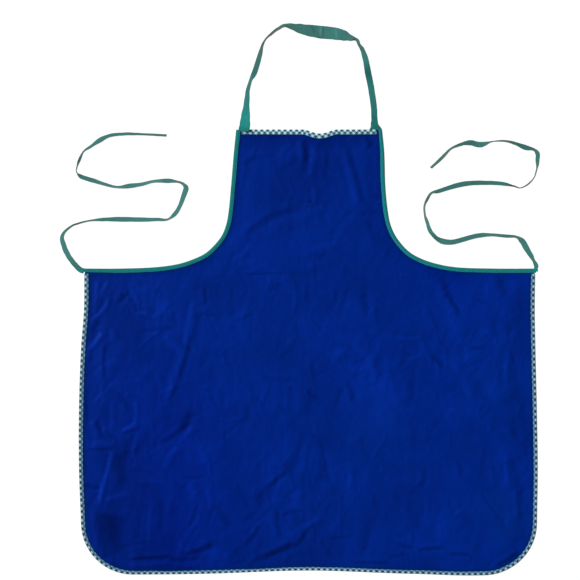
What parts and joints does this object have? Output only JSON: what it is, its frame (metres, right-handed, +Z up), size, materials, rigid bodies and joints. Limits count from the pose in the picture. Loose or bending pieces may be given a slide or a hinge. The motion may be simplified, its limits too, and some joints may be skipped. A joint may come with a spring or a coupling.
{
  "type": "bib apron lying flat with its neck strap and waist ties spread out",
  "caption": "Bib apron laid flat: a cloth panel with curved armholes and rounded hem corners, tape-bound edges, a neck strap and two loose waist ties.",
  "frame": {"origin": "on the floor under the middle of the apron with its neck strap, the waist ties left out", "axes": "+Z up out of the cloth's face, +Y from the hem towards the neck strap, +X to the right as the face is seen"},
  "size_m": [0.8466, 0.9681, 0.0103],
  "materials": {
    "blue_cloth": "smooth royal blue cotton blend with a faint sheen",
    "checked_tape": "bias-cut gingham tape, white with dark teal checks",
    "green_tape": "matt teal green cotton bias tape"
  },
  "bodies": {
    "root": {"apron_panel": "blue_cloth", "bib_top_trim": "checked_tape", "hem_trim": "checked_tape", "armhole_binding_left": "green_tape", "armhole_binding_right": "green_tape", "neck_strap": "green_tape", "waist_tie_left": "green_tape", "waist_tie_right": "green_tape"}
  },
  "joints": []
}
